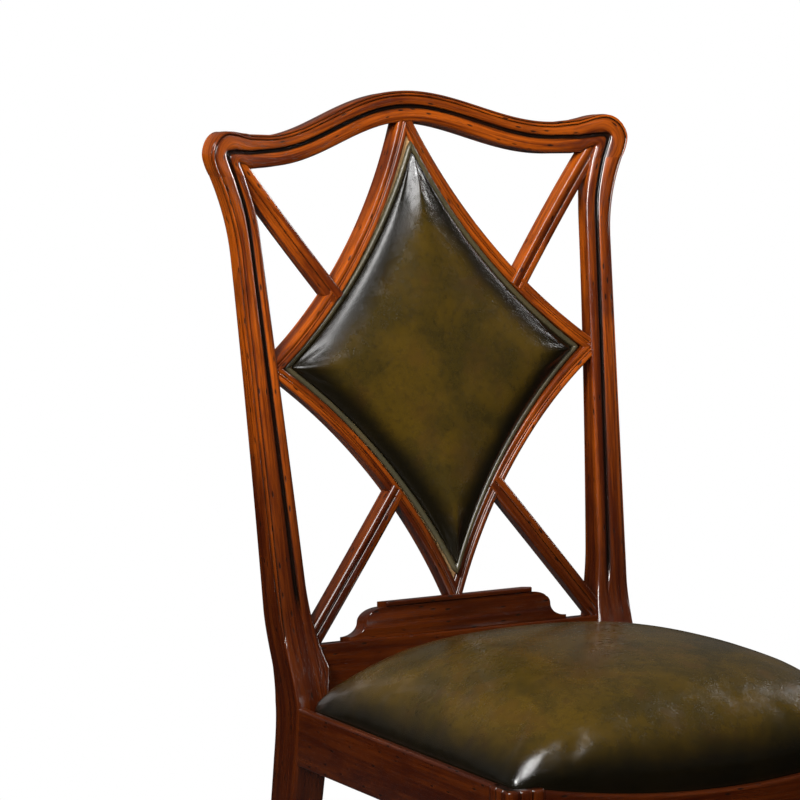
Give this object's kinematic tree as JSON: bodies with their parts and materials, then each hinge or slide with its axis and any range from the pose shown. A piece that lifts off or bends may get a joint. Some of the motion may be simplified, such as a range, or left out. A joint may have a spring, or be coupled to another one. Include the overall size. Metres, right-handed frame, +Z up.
{
  "type": "lattice back dining chair",
  "caption": "Mahogany dining side chair with a serpentine moulded crest, a concave diamond leather back panel held by diagonal struts, tapered legs and a drop-in leather seat.",
  "frame": {"origin": "on the floor, under the middle of the chair's bounding box", "axes": "+Z up, the front of the chair faces -Y, +X to the right of someone who looks at its front"},
  "size_m": [0.4808, 0.6025, 1.0219],
  "materials": {
    "mahogany": "glossy antiqued varnish with a dark glaze in the grooves",
    "frame_beech": "bare planed wood",
    "olive_leather": "waxed hide, mottled and darker towards its edges",
    "foam": "matt foam",
    "webbing": "woven jute",
    "dust_cloth": "black cambric",
    "screw_steel": "bright zinc",
    "glide": "matt"
  },
  "bodies": {
    "chair_frame": {"back_pad_foam": "foam", "back_pad_leather": "olive_leather", "back_pad_piping": "olive_leather", "back_panel_board": "frame_beech", "back_panel_lining": "olive_leather", "back_shoe": "mahogany", "corner_block_screws": "screw_steel", "crest_dowels": "frame_beech", "crest_rail": "mahogany", "foot_glides": "glide", "front_rail": "mahogany", "left_back_post": "mahogany", "left_front_corner_block": "frame_beech", "left_front_leg": "mahogany", "left_lower_diamond_arm": "mahogany", "left_lower_strut": "mahogany", "left_rear_corner_block": "frame_beech", "left_side_rail": "mahogany", "left_upper_diamond_arm": "mahogany", "left_upper_strut": "mahogany", "rear_rail": "mahogany", "right_back_post": "mahogany", "right_front_corner_block": "frame_beech", "right_front_leg": "mahogany", "right_lower_diamond_arm": "mahogany", "right_lower_strut": "mahogany", "right_rear_corner_block": "frame_beech", "right_side_rail": "mahogany", "right_upper_diamond_arm": "mahogany", "right_upper_strut": "mahogany"},
    "drop_in_seat": {"seat_leather": "olive_leather", "seat_foam": "foam", "seat_webbing": "webbing", "seat_dust_cover": "dust_cloth", "seat_frame_left": "frame_beech", "seat_frame_right": "frame_beech", "seat_frame_rear": "frame_beech", "seat_frame_front": "frame_beech"}
  },
  "joints": [
    {"name": "seat_lift", "type": "slide", "parent": "chair_frame", "child": "drop_in_seat", "axis": [0, 0, 1], "range_m": [0, 0.07]}
  ]
}
